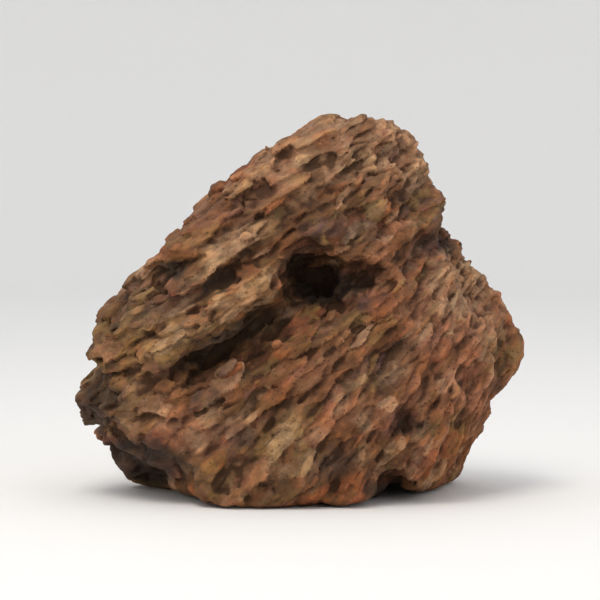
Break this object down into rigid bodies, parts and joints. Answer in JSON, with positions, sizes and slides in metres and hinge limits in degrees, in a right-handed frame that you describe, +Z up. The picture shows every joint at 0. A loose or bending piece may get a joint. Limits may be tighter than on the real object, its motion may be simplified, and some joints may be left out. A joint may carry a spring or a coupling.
{
  "type": "aquarium dragon stone",
  "caption": "Craggy rust-brown aquascape rock of clay-rich dragon stone, weathered into stacked slanting ledges, pits and one dark hollow, standing on its own uneven base.",
  "frame": {"origin": "on the surface that the stone rests on, under the middle of its outline seen from above", "axes": "+X to the right as the picture shows the stone, +Y away from the viewer, +Z up"},
  "size_m": [0.173, 0.1206, 0.1475],
  "materials": {
    "dragon_stone": "matte"
  },
  "bodies": {
    "root": {"dragon_stone": "dragon_stone"}
  },
  "joints": []
}
